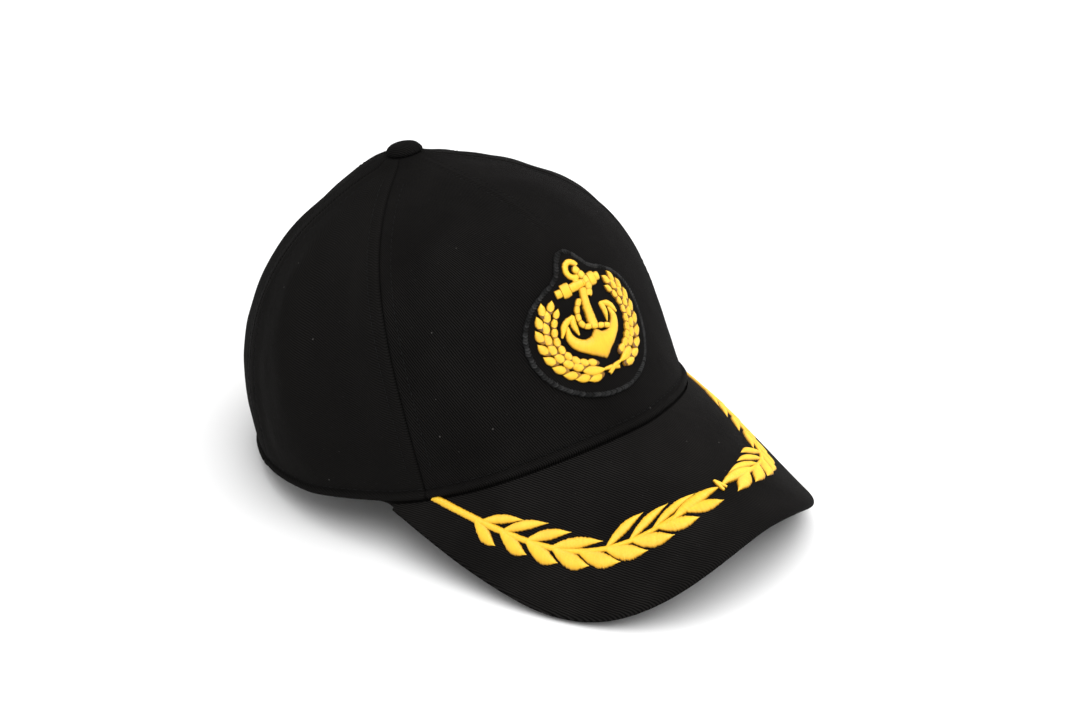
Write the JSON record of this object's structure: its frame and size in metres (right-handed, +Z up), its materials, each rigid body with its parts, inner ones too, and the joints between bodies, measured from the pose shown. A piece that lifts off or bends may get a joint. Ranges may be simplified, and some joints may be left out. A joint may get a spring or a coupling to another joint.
{
  "type": "five-panel embroidered cap",
  "caption": "Structured fabric cap with a curved embroidered visor, a covered button, an embroidered front badge and an adjustable nape strap with a flip buckle.",
  "frame": {"origin": "On the table, under the middle of the whole cap from visor tip to nape, with the cap resting on its nape and on the two sides of its visor", "axes": "+Z up from the table, -Y to the front (visor), +X to the wearer's left; the cap's own rim plane is tipped 9.32 degrees about X, front up"},
  "size_m": [0.1822, 0.2666, 0.1323],
  "materials": {
    "twill": "black cotton twill, matte, with a fine diagonal rib",
    "lining": "black woven tape, matte",
    "sweatband": "black brushed cotton, matte",
    "padding": "grey foam",
    "buckram": "stiff off-white gauze",
    "board": "moulded visor board",
    "gold_thread": "yellow-gold satin-stitched thread with orange shading",
    "badge_cloth": "black patch cloth",
    "border_thread": "charcoal overlocked thread",
    "brass": "antique brass, satin",
    "steel": "plain steel"
  },
  "bodies": {
    "cap": {"front_panel": "twill", "side_panel_left": "twill", "side_panel_right": "twill", "back_panel_left": "twill", "back_panel_right": "twill", "front_stiffener": "buckram", "seam_tape_front_left": "lining", "seam_tape_front_right": "lining", "seam_tape_side_left": "lining", "seam_tape_side_right": "lining", "seam_tape_back": "lining", "dart_tape": "lining", "opening_binding": "lining", "sweatband_cover": "sweatband", "sweatband_padding": "padding", "button_cover": "twill", "button_shell": "steel", "button_rivet": "steel", "visor_top_cover": "twill", "visor_board": "board", "visor_under_cover": "twill", "visor_branch_left": "gold_thread", "visor_branch_right": "gold_thread", "visor_tie": "gold_thread", "badge_backing": "badge_cloth", "badge_border": "border_thread", "badge_anchor": "gold_thread", "badge_wreath_left": "gold_thread", "badge_wreath_right": "gold_thread", "buckle_loop": "twill", "buckle_frame": "brass", "buckle_pin": "steel"},
    "strap": {"strap": "twill"},
    "lever": {"buckle_lever": "brass"}
  },
  "joints": [
    {"name": "strap_adjust", "type": "hinge", "parent": "cap", "child": "strap", "pos_m": [0, 0.04724, 0.01332], "axis": [0, 0.1619, 0.9868], "range_deg": [-10, 10]},
    {"name": "buckle_lever", "type": "hinge", "parent": "cap", "child": "lever", "pos_m": [-0.00828, 0.12858, -0.00007], "axis": [-0.0105, -0.1085, -0.994], "range_deg": [0, 100]}
  ]
}
